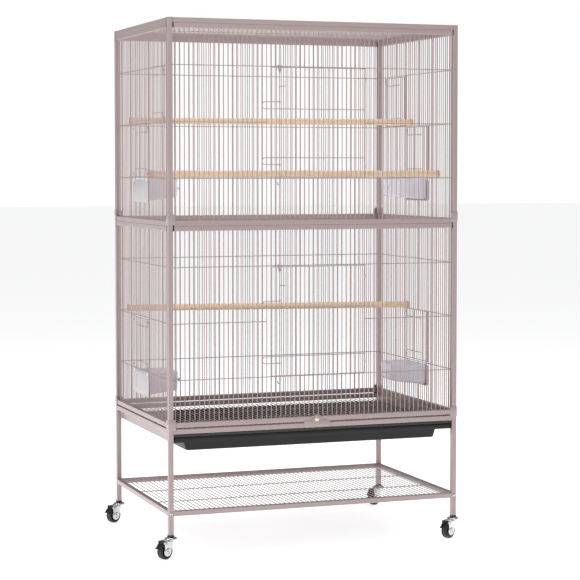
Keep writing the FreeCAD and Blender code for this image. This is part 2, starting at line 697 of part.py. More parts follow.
def make_brackets():
    """L-shaped corner brackets outside the posts, and their screws."""
    screws = []
    levels = {"stand": "lower_base - bracket_low", "middle": "upper_base + bracket_mid"}
    leg = "tube + bracket_lap + bracket_sheet"
    for level, base in levels.items():
        pieces = []
        for corner, (side, end) in CORNERS.items():
            owner = body(f"{level}_{corner}_bracket")
            face_x = "cage_width/2" if side > 0 else "-cage_width/2 - bracket_sheet"
            face_y = "cage_depth/2" if end > 0 else "-cage_depth/2 - bracket_sheet"
            low_x = "cage_width/2 - tube - bracket_lap" if side > 0 else "-cage_width/2 - bracket_sheet"
            low_y = "cage_depth/2 - tube - bracket_lap" if end > 0 else "-cage_depth/2 - bracket_sheet"
            block(owner, f"{owner.Name}_front", (low_x, face_y, base),
                  (leg, "bracket_sheet", "bracket_height"))
            block(owner, f"{owner.Name}_side", (face_x, low_y, base),
                  ("bracket_sheet", leg, "bracket_height"))
            pieces.append(owner)
            middle = f"{base} + bracket_height/2"
            screw = body(f"{level}_{corner}_screw")
            x = "cage_width/2 + bracket_sheet" if side > 0 else "-cage_width/2 - bracket_sheet - screw_head"
            round_bar(screw, f"{screw.Name}_head", "x", (x, f"{end}*plane_y", middle),
                      "screw_head", "screw_size")
            screws.append(screw)
        node(f"{level}_brackets", pieces)
    for corner, (side, end) in CORNERS.items():
        screw = body(f"shelf_{corner}_screw")
        y = "cage_depth/2" if end > 0 else "-cage_depth/2 - screw_head"
        round_bar(screw, f"{screw.Name}_head", "y", (f"{side}*plane_x", y, "shelf_top - tube/2"),
                  "screw_head", "screw_size")
        screws.append(screw)
    node("screws", screws)


def make_turn_button():
    """Turn button on the lower front panel's bottom rail. Its wide end hangs in
    front of the stand's rail until the button is turned over."""
    back = "-cage_depth/2 - play - tab_sheet"
    pivot = "lower_base + tube/2"
    tab = body("turn_button_plate")
    low = "(stand_height - tube + play)"
    round_bar(tab, "tab_ear", "y", ("0", back, pivot), "tab_sheet", "tab_neck")
    bar = block(tab, "tab_bar", ("-tab_width/2", back, low),
                ("tab_width", "tab_sheet", f"lower_base + wire - {low}"))
    soften(tab, bar, "tab_bar_ends", "4", lambda middle, along: (
        abs(along.y) > 0.9 and abs(middle.x) > value("tab_width/2") - 0.1))
    round_bar(tab, "tab_hole", "y", ("0", back, pivot), "tab_sheet", "rivet_shank + 2*pin_play",
              "PartDesign::SubtractiveCylinder")
    node("turn_button", [tab])
    rivet = body("turn_button_pin")
    round_bar(rivet, "rivet_shank_bar", "y", ("0", f"{back} - play", pivot),
              "tab_sheet + 2*play", "rivet_shank")
    round_bar(rivet, "rivet_head_disc", "y", ("0", f"{back} - play - 1.4", pivot), "1.4", "rivet_size")
    node("turn_button_rivet", [rivet])


# ---- casters ---------------------------------------------------------------------

def make_casters():
    plugs = []
    stems = []
    for corner, (side, end) in CORNERS.items():
        x = f"{side}*plane_x"
        y = f"{end}*plane_y"
        plug = body(f"{corner}_caster_plug")
        round_bar(plug, f"{corner}_collar", "z", (x, y, "leg_foot - collar_height"),
                  "collar_height", "collar_size")
        side_length = "tube - 2*tube_wall - 2*pin_play"
        block(plug, f"{corner}_spigot", (f"{x} - ({side_length})/2", f"{y} - ({side_length})/2", "leg_foot"),
              (side_length, side_length, "spigot_length"))
        round_bar(plug, f"{corner}_bore", "z", (x, y, "leg_foot - collar_height"),
                  "collar_height + spigot_length", "stem_size", "PartDesign::SubtractiveCylinder")
        plugs.append(plug)
        stem = body(f"{corner}_caster_stem")
        round_bar(stem, f"{corner}_stem_bar", "z", (x, y, "crown_low - play"),
                  "leg_foot + spigot_length - crown_low + play", "stem_size")
        round_bar(stem, f"{corner}_stem_rivet", "z", (x, y, "crown_low - play - 1.6"), "1.6", "stem_head")
        stems.append(stem)
        make_caster(corner, x, y)
    node("caster_plugs", plugs)
    node("caster_stems", stems)


def caster_node(label, pieces, x, y):
    """A caster's piece, drawn about its swivel axis and trailing along +X."""
    group = node(label, pieces)
    group.Placement = Placement(Vector(), Rotation(ALONG["z"], value("caster_turn")))
    place(group, f"shift_x + {x}", f"shift_y + {y}", "0")


def make_caster(corner, x, y):
    name = f"{corner}_caster"
    hub = "wheel_size/2"
    pin_x = "(caster_trail + pin_ahead)"
    pin_z = "(wheel_size + pedal_pin)"
    fork = body(f"{name}_cheeks")
    crown = round_bar(fork, f"{name}_crown", "z", ("0", "0", "crown_low"), "crown_height", "crown_size")
    soften(fork, crown, f"{name}_dome", "crown_height*0.6",
           lambda middle, along: middle.z > value("crown_top") - 0.1)
    for side in (-1, 1):
        part = "left" if side < 0 else "right"
        plane = "cheek_in" if side > 0 else "-cheek_in - fork_sheet"
        round_bar(fork, f"{name}_{part}_end", "y", ("caster_trail", plane, hub), "fork_sheet", "cheek_size")
        block(fork, f"{name}_{part}_arm", ("arm_start", plane, hub),
              ("arm_width", "fork_sheet", f"crown_low + 1 - {hub}"))
        block(fork, f"{name}_{part}_ear", ("arm_start", plane, "wheel_size"),
              (f"{pin_x} + pedal_pin - arm_start", "fork_sheet", "crown_low + 1 - wheel_size"))
    round_bar(fork, f"{name}_swivel_hole", "z", ("0", "0", "crown_low - 1"), "crown_height + 2",
              "stem_size + 2*pin_play", "PartDesign::SubtractiveCylinder")
    across = "2*cheek_in + 2"
    round_bar(fork, f"{name}_axle", "y", ("caster_trail", "-cheek_in - 1", hub), across, "axle_size")
    round_bar(fork, f"{name}_pedal_pin", "y", (pin_x, "-cheek_in - 1", pin_z), across, "pedal_pin")
    caster_node(f"{name}_fork", [fork], x, y)

    wheel = body(f"{name}_tread")
    disc = round_bar(wheel, f"{name}_disc", "y", ("caster_trail", "-wheel_width/2", hub),
                     "wheel_width", "wheel_size")
    soften(wheel, disc, f"{name}_tread_edges", "2", lambda middle, along: True)
    round_bar(wheel, f"{name}_bore", "y", ("caster_trail", "-wheel_width/2", hub), "wheel_width",
              "axle_size + 2*pin_play", "PartDesign::SubtractiveCylinder")
    caster_node(f"{name}_wheel", [wheel], x, y)

    pedal = body(f"{name}_brake")
    inner = f"({hub} + pedal_gap)"
    edge = "-pedal_width/2"
    cut = "PartDesign::SubtractiveBox"
    round_bar(pedal, f"{name}_shoe", "y", ("caster_trail", edge, hub), "pedal_width",
              f"2*({inner} + pedal_sheet)")
    round_bar(pedal, f"{name}_shoe_inside", "y", ("caster_trail", edge, hub), "pedal_width", f"2*{inner}",
              "PartDesign::SubtractiveCylinder")
    block(pedal, f"{name}_below", ("caster_trail - wheel_size", edge, f"{hub} - wheel_size"),
          ("2*wheel_size", "pedal_width", "wheel_size + pedal_low"), cut)
    block(pedal, f"{name}_ahead", ("caster_trail - wheel_size", edge, hub),
          ("wheel_size - arm_start", "pedal_width", "wheel_size"), cut)
    block(pedal, f"{name}_tip", (f"caster_trail + {hub} + 0.5", edge, f"{hub} + pedal_low"),
          ("pedal_tip", "pedal_width", "pedal_sheet"))
    round_bar(pedal, f"{name}_boss", "y", (pin_x, edge, pin_z), "pedal_width", "2*pedal_pin")
    round_bar(pedal, f"{name}_pedal_bore", "y", (pin_x, edge, pin_z), "pedal_width",
              "pedal_pin + 2*pin_play", "PartDesign::SubtractiveCylinder")
    caster_node(f"{name}_pedal", [pedal], x, y)


# ---- the whole cage ----------------------------------------------------------------

make_posts()
make_stand()
make_runners()
make_shelf()
make_grille()
make_tray()
make_top_panel()
TIERS = {"lower": "lower_base", "upper": "upper_base"}
for tier, base in TIERS.items():
    make_front_panel(f"{tier}_front", base)
    make_back_panel(f"{tier}_back", base)
    make_front_door(tier, base)
    make_lock_rod(tier, base)
    for side, turn in (("left", 0), ("right", 180)):
        make_side_panel(f"{tier}_{side}", base, turn, tier == "upper")
        make_hatch(f"{tier}_{side}_feeder_hatch", base, turn,
                   "feeder_low", "feeder_high", "low_wire", "mid_wire")
        make_cup(f"{tier}_{side}_cup", base, turn)
for side, turn in (("left", 0), ("right", 180)):
    make_hatch(f"upper_{side}_access_hatch", "upper_base", turn,
               "access_low", "access_high", "mid_wire", "high_wire")
node("rail_plugs", PLUGS)
make_perches()
make_brackets()
make_turn_button()
make_casters()
doc.recompute()

# ---- check and export ------------------------------------------------------------

faulty = [item.Label for item in doc.Objects if {"Invalid", "Error"} & set(item.State)]
if faulty:
    raise RuntimeError(f"these did not compute: {faulty}")
os.makedirs("parts", exist_ok=True)
for item in NODES:
    if item.Shape.isNull() or not item.Shape.isValid():
        raise RuntimeError(f"{item.Label} has no valid shape")
for item in NODES:
    item.Shape.exportStep(f"parts/{item.Label}.step")
    print(item.Label, len(item.Shape.Solids), round(item.Shape.Volume))
print(len(NODES), "nodes")
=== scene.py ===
import json
import math

import bmesh
import bpy
import numpy as np
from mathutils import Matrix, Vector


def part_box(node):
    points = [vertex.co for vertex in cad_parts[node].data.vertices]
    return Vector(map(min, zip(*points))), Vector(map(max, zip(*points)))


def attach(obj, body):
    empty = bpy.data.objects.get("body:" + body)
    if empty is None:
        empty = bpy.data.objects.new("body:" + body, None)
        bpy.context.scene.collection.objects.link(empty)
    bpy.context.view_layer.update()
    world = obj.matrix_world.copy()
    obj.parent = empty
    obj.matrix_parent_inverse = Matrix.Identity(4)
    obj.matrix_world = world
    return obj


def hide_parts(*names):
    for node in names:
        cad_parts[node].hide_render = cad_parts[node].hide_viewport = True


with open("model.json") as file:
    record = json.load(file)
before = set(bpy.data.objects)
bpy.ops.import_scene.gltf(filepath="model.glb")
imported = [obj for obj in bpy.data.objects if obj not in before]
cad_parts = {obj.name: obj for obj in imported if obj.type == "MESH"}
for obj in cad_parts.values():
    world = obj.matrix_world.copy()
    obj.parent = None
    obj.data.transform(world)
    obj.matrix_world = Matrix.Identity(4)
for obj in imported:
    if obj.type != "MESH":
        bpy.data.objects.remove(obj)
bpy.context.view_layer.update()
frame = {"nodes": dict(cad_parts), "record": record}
scene = bpy.context.scene
cageMiddle = np.array([0.014, 0.010, 0.0])  # the cage's own middle on the floor
cageHalf = (0.39370, 0.26035)  # from the cage's middle to the posts' outer faces, across and deep
postHalf = (0.38735, 0.25400)  # from the cage's middle to the posts' axes
tierBase = {"lower": 0.326, "upper": 0.8295}  # underside of each tier's panels
print("frame loaded")


# smooth mesh from points and faces, standing at the origin
def makeMesh(name, points, faces):
    mesh = bpy.data.meshes.new(name)
    mesh.from_pydata(np.asarray(points, float).reshape(-1, 3).tolist(), [], faces)
    mesh.update()
    mesh.polygons.foreach_set("use_smooth", [True] * len(mesh.polygons))
    piece = bpy.data.objects.new(name, mesh)
    scene.collection.objects.link(piece)
    return piece


# quads between the rings of a grid that closes round its second direction, with both ends capped
# unless the last ring is joined to the first
def tubeFaces(rings, across, offset=0, joined=False):
    last = rings if joined else rings - 1
    row = np.arange(last)[:, None] * across
    nextRow = (np.arange(last)[:, None] + 1) % rings * across
    col = np.arange(across)[None, :]
    nextCol = (col + 1) % across
    quads = np.stack([row + col, row + nextCol, nextRow + nextCol, nextRow + col], -1).reshape(-1, 4) + offset
    faces = quads.tolist()
    if not joined:
        faces.append((np.arange(across)[::-1] + offset).tolist())
        faces.append((np.arange(across) + offset + (rings - 1) * across).tolist())
    return faces


# several grids of rings become one mesh: parts are capped at both ends, loops run round into themselves
def joinRings(name, parts, loops=()):
    points, faces, offset = [], [], 0
    for number, rings in enumerate([*parts, *loops]):
        count, across = rings.shape[:2]
        faces += tubeFaces(count, across, offset, joined=number >= len(parts))
        points.append(rings.reshape(-1, 3))
        offset += count * across
    return makeMesh(name, np.concatenate(points), faces)


# surface of revolution: radius and height pairs turned about an axis through origin
def turned(profile, origin, axis, sides=32):
    axis = np.array(axis, float) / np.linalg.norm(axis)
    side = np.cross(axis, [0.0, 0.0, 1.0] if abs(axis[2]) < 0.9 else [0.0, -1.0, 0.0])
    side /= np.linalg.norm(side)
    other = np.cross(axis, side)
    angle = np.linspace(0, 2 * math.pi, sides, endpoint=False)
    circle = np.cos(angle)[:, None] * side + np.sin(angle)[:, None] * other
    profile = np.asarray(profile, float)
    return np.asarray(origin, float) + profile[:, 0, None, None] * circle + profile[:, 1, None, None] * axis


# rounded rectangle, counter-clockwise: each corner is a quarter circle, its centre plus
# radius * (cos, sin), and the centres stand in from the corners by the radius
def roundedOutline(halfX, halfY, radius, steps=6):
    angle = np.linspace(0, math.pi / 2, steps)
    start = np.array([0, 1, 2, 3])[:, None] * math.pi / 2
    turn = (start + angle).reshape(-1)
    signX = np.repeat([1, -1, -1, 1], steps)
    signY = np.repeat([1, 1, -1, -1], steps)
    x = signX * (halfX - radius) + radius * np.cos(turn)
    y = signY * (halfY - radius) + radius * np.sin(turn)
    return np.stack([x, y], -1)


# outward normals of a closed outline, from the difference of its neighbours
def outlineNormals(outline):
    step = np.roll(outline, -1, 0) - np.roll(outline, 1, 0)
    normal = np.stack([step[:, 1], -step[:, 0]], -1)
    return normal / np.linalg.norm(normal, axis=1, keepdims=True)


# plate with rolled edges: the outline shrinks and rises along a quarter circle at each face
def plateRings(outline, low, high, edge, steps=4):
    normal = outlineNormals(outline)
    angle = np.linspace(0, math.pi / 2, steps)
    inset = np.concatenate([edge * (1 - np.sin(angle)), edge * (1 - np.cos(angle))])
    height = np.concatenate([low + edge * (1 - np.cos(angle)), high - edge * (1 - np.sin(angle))])
    flat = outline[None] - inset[:, None, None] * normal[None]
    level = np.broadcast_to(height[:, None, None], flat.shape[:2] + (1,))
    return np.concatenate([flat, level], -1)


# round wire along a path: a circle set square to the path's direction at every point
def wireRings(path, radius, sides=10):
    path = np.asarray(path, float)
    along = np.gradient(path, axis=0)
    along /= np.linalg.norm(along, axis=1, keepdims=True)
    side = np.cross(along, [0.36, 0.48, 0.8])  # a slant that none of the wires runs along
    side /= np.linalg.norm(side, axis=1, keepdims=True)
    other = np.cross(along, side)
    angle = np.linspace(0, 2 * math.pi, sides, endpoint=False)
    circle = np.cos(angle)[None, :, None] * side[:, None] + np.sin(angle)[None, :, None] * other[:, None]
    return path[:, None] + radius * circle


# runs through points with each corner rounded by a parabola between two cuts
def bentPath(points, cut, steps=6):
    points = np.asarray(points, float)
    way = np.linspace(0, 1, steps)[:, None]
    path = [points[:1]]
    for before, corner, after in zip(points, points[1:], points[2:]):
        start = corner + (before - corner) / np.linalg.norm(before - corner) * cut
        end = corner + (after - corner) / np.linalg.norm(after - corner) * cut
        path.append((1 - way) ** 2 * start + 2 * way * (1 - way) * corner + way ** 2 * end)
    path.append(points[-1:])
    return np.concatenate(path)


# strip along a flat path: a rounded rectangle square to the path, its half width given at every point
def stripRings(path, halfWide, halfThick, edge):
    path = np.asarray(path, float)
    along = np.gradient(path, axis=0)
    along /= np.linalg.norm(along, axis=1, keepdims=True)
    square = np.stack([-along[:, 1], along[:, 0]], -1)
    outline = roundedOutline(1.0, halfThick, edge, 4)
    edgeIn = 1 - np.abs(outline[:, 0])  # how far each point lies in from the strip's edge
    wide = np.sign(outline[:, 0]) * (np.broadcast_to(halfWide, len(path))[:, None] - edgeIn)
    flat = path[:, None] + outline[None, :, 1:2] * square[:, None]
    return np.concatenate([flat, wide[..., None]], -1)


# turns rings drawn about the origin round +Z and carries them to a place
def carried(rings, place, degrees=0.0):
    turn = math.radians(degrees)
    spin = np.array([[math.cos(turn), -math.sin(turn), 0], [math.sin(turn), math.cos(turn), 0], [0, 0, 1]])
    return rings @ spin.T + np.asarray(place, float)


# axes relabelled, so that a plate drawn flat stands up: new x, y, z are taken from old columns
def stood(rings, order):
    return rings[..., list(order)]


# merges doubled points and turns every face outwards
def outward(piece):
    work = bmesh.new()
    work.from_mesh(piece.data)
    bmesh.ops.remove_doubles(work, verts=work.verts, dist=1e-7)
    bmesh.ops.recalc_face_normals(work, faces=work.faces)
    work.to_mesh(piece.data)
    work.free()


# gives a piece its finish and its body, and hides the nodes it stands for
def finishPiece(piece, material, body, slot, *nodes):
    outward(piece)
    piece.data.materials.append(material)
    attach(piece, body)
    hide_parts(*nodes)


# one input or output on a node group, with its usual value
def addSocket(group, name, kind, output=False, value=None):
    socket = group.interface.new_socket(name=name, in_out="OUTPUT" if output else "INPUT", socket_type=kind)
    if value is not None:
        socket.default_value = value


# every finish takes a place and two colours, and gives colour, roughness and height
def finishGroup(name, values=()):
    group = bpy.data.node_groups.new(name, "ShaderNodeTree")
    addSocket(group, "Vector", "NodeSocketVector")
    addSocket(group, "Light", "NodeSocketColor")
    addSocket(group, "Dark", "NodeSocketColor")
    for socket, value in values:
        addSocket(group, socket, "NodeSocketFloat", value=value)
    for socket, kind in (("Color", "NodeSocketColor"), ("Roughness", "NodeSocketFloat"),
                         ("Height", "NodeSocketFloat")):
        addSocket(group, socket, kind, output=True)
    return group


# fine grain for the surface's height, and a wide cloud that shifts colour and gloss a little
def grainGroup():
    group = finishGroup("finishGrain", (("Rough", 0.5), ("Spread", 0.05), ("Fine", 900.0), ("Wide", 12.0)))
    nodes, links = group.nodes, group.links
    start = nodes.new("NodeGroupInput")
    end = nodes.new("NodeGroupOutput")
    fine = nodes.new("ShaderNodeTexNoise")
    fine.inputs["Detail"].default_value = 2.0
    wide = nodes.new("ShaderNodeTexNoise")
    wide.inputs["Detail"].default_value = 4.0
    mix = nodes.new("ShaderNodeMix")
    mix.data_type = "RGBA"
    centre = nodes.new("ShaderNodeMath")
    centre.operation = "SUBTRACT"
    centre.inputs[1].default_value = 0.5  # the cloud's own middle
    gloss = nodes.new("ShaderNodeMath")
    gloss.operation = "MULTIPLY_ADD"
    for source, target in (
            (start.outputs["Vector"], fine.inputs["Vector"]),
            (start.outputs["Vector"], wide.inputs["Vector"]),
            (start.outputs["Fine"], fine.inputs["Scale"]), (start.outputs["Wide"], wide.inputs["Scale"]),
            (wide.outputs["Fac"], mix.inputs["Factor"]), (start.outputs["Light"], mix.inputs["A"]),
            (start.outputs["Dark"], mix.inputs["B"]), (mix.outputs["Result"], end.inputs["Color"]),
            (wide.outputs["Fac"], centre.inputs[0]), (centre.outputs[0], gloss.inputs[0]),
            (start.outputs["Spread"], gloss.inputs[1]), (start.outputs["Rough"], gloss.inputs[2]),
            (gloss.outputs[0], end.inputs["Roughness"]), (fine.outputs["Fac"], end.inputs["Height"])):
        links.new(source, target)
    return group


woodLook = {"stretch": (6.0, 160.0, 160.0), "streak": 1.6, "streakDetail": 5.0, "ring": 0.35,
            "ringBend": 6.0, "ringDetail": 3.0, "rough": 0.5, "spread": 0.2}


# long streaks and rings of pale wood, drawn out along the dowel
def woodGroup():
    group = finishGroup("dowelGrain")
    nodes, links = group.nodes, group.links
    start = nodes.new("NodeGroupInput")
    end = nodes.new("NodeGroupOutput")
    stretch = nodes.new("ShaderNodeMapping")
    stretch.inputs["Scale"].default_value = woodLook["stretch"]
    streak = nodes.new("ShaderNodeTexNoise")
    streak.inputs["Scale"].default_value = woodLook["streak"]
    streak.inputs["Detail"].default_value = woodLook["streakDetail"]
    rings = nodes.new("ShaderNodeTexWave")
    rings.wave_type = "RINGS"
    rings.rings_direction = "X"
    rings.inputs["Scale"].default_value = woodLook["ring"]
    rings.inputs["Distortion"].default_value = woodLook["ringBend"]
    rings.inputs["Detail"].default_value = woodLook["ringDetail"]
    blend = nodes.new("ShaderNodeMath")
    blend.operation = "MULTIPLY"
    mix = nodes.new("ShaderNodeMix")
    mix.data_type = "RGBA"
    gloss = nodes.new("ShaderNodeMath")
    gloss.operation = "MULTIPLY_ADD"
    gloss.inputs[1].default_value = woodLook["spread"]
    gloss.inputs[2].default_value = woodLook["rough"]
    for source, target in (
            (start.outputs["Vector"], stretch.inputs["Vector"]),
            (stretch.outputs["Vector"], streak.inputs["Vector"]),
            (stretch.outputs["Vector"], rings.inputs["Vector"]), (streak.outputs["Fac"], blend.inputs[0]),
            (rings.outputs["Fac"], blend.inputs[1]), (blend.outputs[0], mix.inputs["Factor"]),
            (start.outputs["Light"], mix.inputs["A"]), (start.outputs["Dark"], mix.inputs["B"]),
            (mix.outputs["Result"], end.inputs["Color"]), (streak.outputs["Fac"], gloss.inputs[0]),
            (gloss.outputs[0], end.inputs["Roughness"]), (streak.outputs["Fac"], end.inputs["Height"])):
        links.new(source, target)
    return group


grain = grainGroup()
dowelGrain = woodGroup()
bumpDepth = 0.0002


# material: a finish group gives colour, roughness and height, and the height becomes a shallow bump
def makeMaterial(name, look):
    material = bpy.data.materials.new(name)
    material.use_nodes = True
    nodes, links = material.node_tree.nodes, material.node_tree.links
    shader = nodes["Principled BSDF"]
    where = nodes.new("ShaderNodeTexCoord")
    finish = nodes.new("ShaderNodeGroup")
    finish.node_tree = look.get("group", grain)
    finish.inputs["Light"].default_value = (*look["light"], 1)
    finish.inputs["Dark"].default_value = (*look["dark"], 1)
    for key in ("rough", "spread", "fine", "wide"):
        if key in look:
            finish.inputs[key.title()].default_value = look[key]
    bump = nodes.new("ShaderNodeBump")
    bump.inputs["Strength"].default_value = look["bump"]
    bump.inputs["Distance"].default_value = bumpDepth
    links.new(where.outputs["Object"], finish.inputs["Vector"])
    links.new(finish.outputs["Color"], shader.inputs["Base Color"])
    links.new(finish.outputs["Roughness"], shader.inputs["Roughness"])
    links.new(finish.outputs["Height"], bump.inputs["Height"])
    links.new(bump.outputs["Normal"], shader.inputs["Normal"])
    for socket, number in look.get("set", {}).items():
        shader.inputs[socket].default_value = number
    return material


looks = {
    "powderCoat": {"light": (0.47, 0.368, 0.366), "dark": (0.43, 0.332, 0.330), "rough": 0.38, "spread": 0.10,
                   "fine": 1400.0, "wide": 9.0, "bump": 0.12,
                   "set": {"Metallic": 0.25, "Coat Weight": 0.6, "Coat Roughness": 0.28}},
    "blackPlastic": {"light": (0.014, 0.013, 0.014), "dark": (0.007, 0.007, 0.008), "rough": 0.4,
                     "spread": 0.15, "fine": 1800.0, "wide": 20.0, "bump": 0.2},
    "traySheet": {"light": (0.010, 0.010, 0.011), "dark": (0.006, 0.006, 0.007), "rough": 0.36,
                  "spread": 0.12, "fine": 900.0, "wide": 7.0, "bump": 0.15,
                  "set": {"Specular IOR Level": 0.35}},
    # cup plastic: its faint lavender emission is painted light, a glow standing in for light that comes
    # through the thin plastic
    "cupPlastic": {"light": (0.84, 0.82, 0.88), "dark": (0.76, 0.74, 0.82), "rough": 0.16, "spread": 0.08,
                   "fine": 500.0, "wide": 18.0, "bump": 0.05,
                   "set": {"Alpha": 0.62, "IOR": 1.5, "Coat Weight": 0.8, "Coat Roughness": 0.05,
                           "Emission Color": (0.93, 0.91, 1.0, 1), "Emission Strength": 0.10}},
    "facePlastic": {"light": (0.62, 0.59, 0.60), "dark": (0.57, 0.54, 0.56), "rough": 0.3, "spread": 0.08,
                    "fine": 500.0, "wide": 18.0, "bump": 0.05, "set": {"Alpha": 0.9}},
    "clipPlastic": {"light": (0.93, 0.93, 0.93), "dark": (0.88, 0.88, 0.89), "rough": 0.3, "spread": 0.08,
                    "bump": 0.05},
    "dowelWood": {"group": dowelGrain, "light": (0.96, 0.74, 0.52), "dark": (0.80, 0.55, 0.34),
                  "bump": 0.25},
    "tanCap": {"light": (0.76, 0.56, 0.36), "dark": (0.68, 0.48, 0.29), "rough": 0.5, "spread": 0.1,
               "bump": 0.1},
    "brightSteel": {"light": (0.72, 0.72, 0.73), "dark": (0.62, 0.62, 0.63), "rough": 0.2, "spread": 0.14,
                    "fine": 700.0, "wide": 30.0, "bump": 0.04, "set": {"Metallic": 1.0}},
    "rivetMetal": {"light": (0.78, 0.70, 0.50), "dark": (0.70, 0.61, 0.42), "rough": 0.28, "spread": 0.1,
                   "bump": 0.05, "set": {"Metallic": 0.8}},
    "wheelPlastic": {"light": (0.014, 0.014, 0.015), "dark": (0.008, 0.008, 0.009), "rough": 0.3,
                     "spread": 0.15, "fine": 1500.0, "wide": 25.0, "bump": 0.15},
}
made = {name: makeMaterial(name, look) for name, look in looks.items()}

slotLooks = {
    "coated_steel": "powderCoat",
    "black_plastic": "blackPlastic",
    "tray_sheet": "traySheet",
    "cup_plastic": "cupPlastic",
    "pine": "dowelWood",
    "cap_plastic": "tanCap",
    "plated_steel": "brightSteel",
    "rivet_metal": "rivetMetal",
    "wheel_plastic": "wheelPlastic",
}


# the floor grille is coated like the rest, but its front edge, y under a limit, is painted black: painted
# shade for the dark gap under the panel's bottom rail
def shadedFrontMaterial(name, look, dark, limit):
    material = makeMaterial(name, look)
    nodes, links = material.node_tree.nodes, material.node_tree.links
    shader = next(n for n in nodes if n.type == "BSDF_PRINCIPLED")
    place = nodes.new("ShaderNodeTexCoord")
    split = nodes.new("ShaderNodeSeparateXYZ")
    front = nodes.new("ShaderNodeMath")
    front.operation = "LESS_THAN"
    front.inputs[1].default_value = limit
    mix = nodes.new("ShaderNodeMix")
    mix.data_type = "RGBA"
    colours = [socket for socket in mix.inputs if socket.type == "RGBA"]
    coat = shader.inputs["Base Color"].links[0].from_socket
    links.new(place.outputs["Object"], split.inputs["Vector"])
    links.new(split.outputs["Y"], front.inputs[0])
    links.new(front.outputs["Value"], mix.inputs["Factor"])
    links.new(coat, colours[0])
    colours[1].default_value = (*dark, 1)
    result = next(socket for socket in mix.outputs if socket.type == "RGBA")
    links.new(result, shader.inputs["Base Color"])
    return material


grilleShadeDepth = 0.0035  # depth of the grille's front that carries the painted shade
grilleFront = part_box("floor_grille")[0].y + grilleShadeDepth
# the grille's coat, with painted shade on its front edge
made["grilleCoatShadedFront"] = shadedFrontMaterial("grilleCoatShadedFront", looks["powderCoat"], looks["blackPlastic"]["light"],
                                   grilleFront)
nodeSlots = {row["node"]: row["material_slot"] for row in frame["record"]["subparts"]}
for nodeName, node in frame["nodes"].items():
    for holder in node.material_slots:
        coat = "grilleCoatShadedFront" if nodeName == "floor_grille" else slotLooks[nodeSlots[nodeName]]
        holder.material = made[coat]
print("materials made and put on the frame")


perchLook = {"radius": 0.00875, "sway": 0.0006, "capRadius": 0.0095, "capLength": 0.006, "reach": 0.38424,
             "capEdge": 0.0014, "capHole": 0.0084, "seedStep": 2.1}
perchPlaces = {
    "upper_perch": (0.142, 0.009),
    "middle_perch": (-0.0635, -0.167),
    "lower_perch": (0.169, 0.033),
}


# dowel: a circle along a straight line, its radius and centre swaying by slow sines
def makePerch(node, ends, seed):
    low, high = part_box(node)
    level = (low.z + high.z) / 2
    inset = perchLook["capLength"]
    start = cageMiddle + [-perchLook["reach"], ends[0], level]
    finish = cageMiddle + [perchLook["reach"], ends[1], level]
    span = np.linalg.norm(finish - start)
    along = (finish - start) / span
    spot = np.linspace(inset * 0.4, span - inset * 0.4, 90)
    wobble = perchLook["sway"] * (np.sin(spot * 17 + seed) + 0.5 * np.sin(spot * 41 + 2 * seed)) / 1.5
    radius = perchLook["radius"] * 0.98 + wobble * 0.3
    rings = turned(np.stack([radius, spot], -1), start, along, 28)
    rings[..., 2] += (wobble * 0.4)[:, None]
    dowel = joinRings(node.replace("_perch", "PerchDowel"), [rings])
    finishPiece(dowel, made["dowelWood"], "cage", "pine", node)
    caps = []
    length, radius, edge = perchLook["capLength"], perchLook["capRadius"], perchLook["capEdge"]
    for origin, way in ((start, along), (finish, -along)):
        profile = [(0.0004, 0), (radius - edge, 0), (radius - 0.3 * edge, 0.3 * edge), (radius, edge),
                   (radius, length - 0.4 * edge), (radius - 0.4 * edge, length),
                   (perchLook["capHole"], length)]
        caps.append(turned(profile, origin, way, 28))
    return caps


capParts = []
for number, (node, ends) in enumerate(perchPlaces.items()):
    capParts += makePerch(node, ends, number * perchLook["seedStep"])
finishPiece(joinRings("perchCaps", capParts), made["tanCap"], "cage", "cap_plastic", "perch_end_caps")
print("perches made")


cupLook = {"wall": 0.0018, "corner": 0.028, "half": 0.0676, "depth": 0.088, "bottom": 0.0586,
           "mouth": 0.1148, "rise": 0.010, "rim": 0.0022, "plateLow": 0.055, "plateHigh": 0.1128,
           "top": 0.117, "faceCorner": 0.008,
           "square": 0.004, "sheet": 0.002, "plate": 0.0014, "back": 0.0006, "ribs": (0.0, -0.042, 0.042),
           "ribTall": 0.018, "clips": (-0.064, 0.064), "pegLift": 0.004,
           "peg": [(0.0045, -0.0005), (0.0034, 0.001), (0.0034, 0.0125), (0.0039, 0.0135), (0.0036, 0.0155),
                   (0.0024, 0.0168), (0.0003, 0.017)]}


# bowl: rounded rectangles, outside then inside, whose floor climbs away from the face plate by
# rise * t * (1 - h), t being the way from the plate and h the height in the bowl, both 0 to 1
def cupBowl(sign, base):
    wall, depth, half = cupLook["wall"], cupLook["depth"], cupLook["half"]
    bottom, mouth = base + cupLook["bottom"], base + cupLook["mouth"]
    rim = mouth - cupLook["rim"]
    section = [(0.0110, bottom), (0.0060, bottom + 0.0006), (0.0030, bottom + 0.0030),
               (0.0020, bottom + 0.0080), (0.0008, rim - 0.0012), (0.0006, rim - 0.0006), (0.0, rim),
               (0.0, mouth - 0.0005), (0.0005, mouth), (wall + 0.0002, mouth),
               (wall + 0.0008, mouth - 0.0006), (wall + 0.0010, rim), (wall + 0.0022, bottom + 0.0090),
               (wall + 0.0034, bottom + 0.0042),
               (wall + 0.0062, bottom + 0.0022), (wall + 0.0120, bottom + 0.0018)]
    rings = []
    for inset, level in section:
        square = cupLook["square"]
        ring = roundedOutline(depth / 2 - inset, half - inset, max(cupLook["corner"] - inset, square), 8)
        outer = ring[:, 0] * sign > 0  # the end at the face plate stays nearly square
        ring[outer] = roundedOutline(depth / 2 - inset, half - inset, square, 8)[outer]
        away = 0.5 - sign * ring[:, 0] / depth
        high = (level - bottom) / (mouth - bottom)
        lift = cupLook["rise"] * away * (1 - high)
        rings.append(np.concatenate([ring, (level + lift)[:, None]], 1))
    return np.array(rings)


